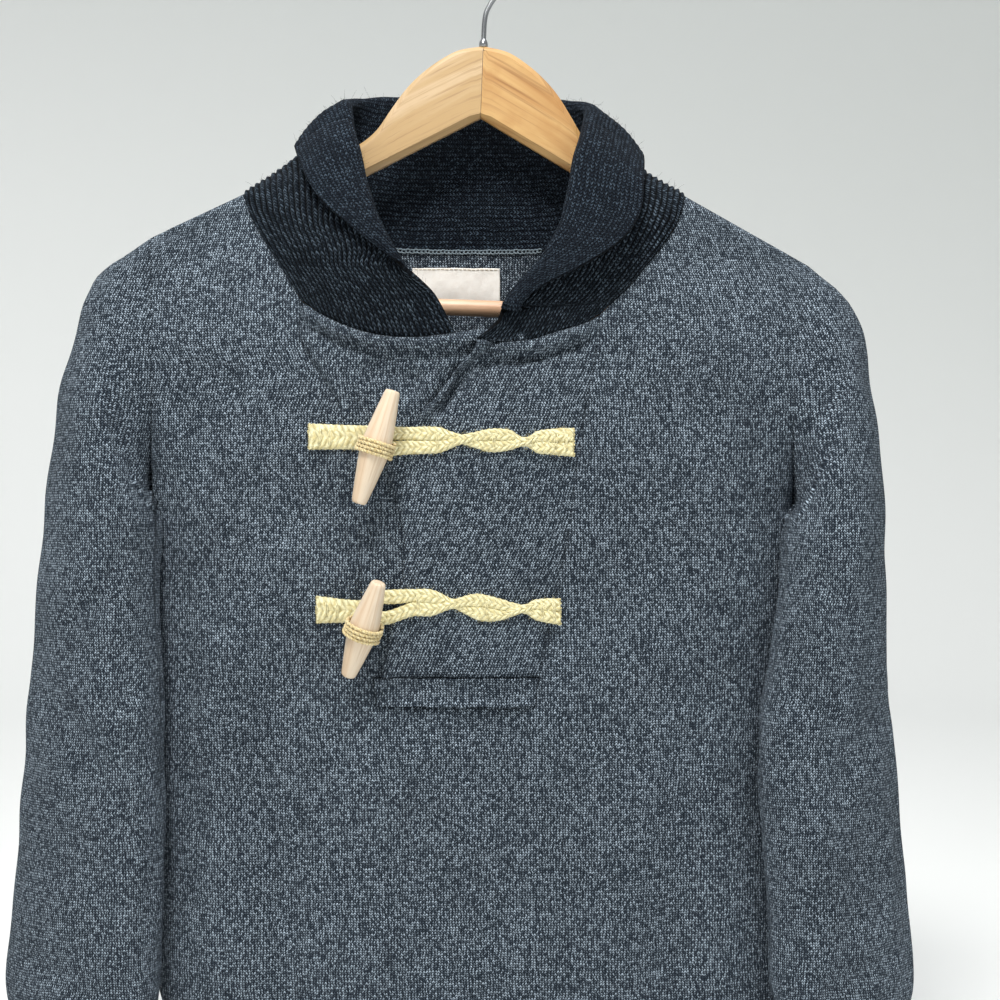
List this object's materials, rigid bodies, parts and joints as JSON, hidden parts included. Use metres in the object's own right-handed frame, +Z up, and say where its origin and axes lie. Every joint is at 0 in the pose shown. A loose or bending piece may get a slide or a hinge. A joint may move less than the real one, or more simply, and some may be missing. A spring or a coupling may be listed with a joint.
{
  "type": "toggle neck sweater on a wooden hanger",
  "caption": "Long-sleeved knitted sweater with a ribbed shawl collar and a toggle-fastened placket, hanging flat on a wooden hanger with a trouser bar.",
  "frame": {"origin": "seat of the hanger's hook, where the rod bears", "axes": "+Z up, the wearer's front faces -Y, +X to the right of a viewer who faces the front"},
  "size_m": [0.6732, 0.1299, 0.881],
  "materials": {
    "body knit": "marled charcoal and navy jersey knit",
    "rib knit": "dark marled rib knit",
    "braid": "straw-coloured jute braid and twine",
    "toggle wood": "pale turned beech, satin",
    "hanger wood": "lacquered, warm",
    "bar wood": "lacquered, pinkish",
    "label": "plain woven, cream",
    "steel": "dark wire"
  },
  "bodies": {
    "root": {"front_panel": "body knit", "back_panel": "body knit", "sleeve_left": "body knit", "sleeve_right": "body knit", "placket_under": "body knit", "placket_over": "body knit", "placket_box": "body knit", "hem_front": "rib knit", "hem_back": "rib knit", "cuff_left": "rib knit", "cuff_right": "rib knit", "collar_left": "rib knit", "collar_back": "rib knit", "collar_right": "rib knit", "neck_label": "label", "toggle_upper": "toggle wood", "toggle_lower": "toggle wood", "wrap_upper": "braid", "wrap_lower": "braid", "tab_upper": "braid", "tab_lower": "braid", "loop_upper": "braid", "loop_lower": "braid", "hanger_arm_left": "hanger wood", "hanger_arm_right": "hanger wood", "hanger_bar": "bar wood", "hanger_hook": "steel"}
  },
  "joints": []
}
